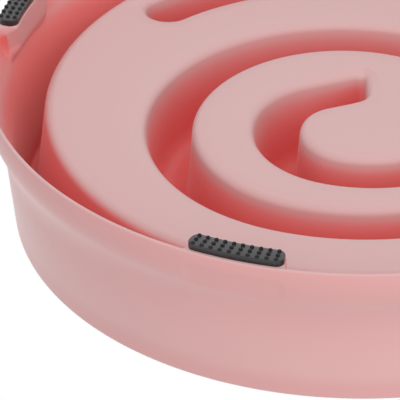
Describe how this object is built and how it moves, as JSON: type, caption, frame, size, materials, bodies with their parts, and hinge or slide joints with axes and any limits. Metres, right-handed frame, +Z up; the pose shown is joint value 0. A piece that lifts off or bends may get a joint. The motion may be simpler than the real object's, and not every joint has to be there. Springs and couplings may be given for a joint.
{
  "type": "slow feeder bowl",
  "caption": "Round slow feeder bowl with a spiral ridge inside, a flared skirt and rubber feet under the base edge.",
  "frame": {"origin": "centre of the bowl on the ground plane, under the nub tips of the feet", "axes": "+Z up along the bowl's axis, out of the open mouth; the feet lie on the +X, +Y, -X and -Y sides"},
  "size_m": [0.2018, 0.2018, 0.0468],
  "materials": {
    "shell": "satin",
    "rubber": "matte"
  },
  "bodies": {
    "bowl": {"bowl": "shell", "foot_1": "rubber", "foot_2": "rubber", "foot_3": "rubber", "foot_4": "rubber"}
  },
  "joints": []
}
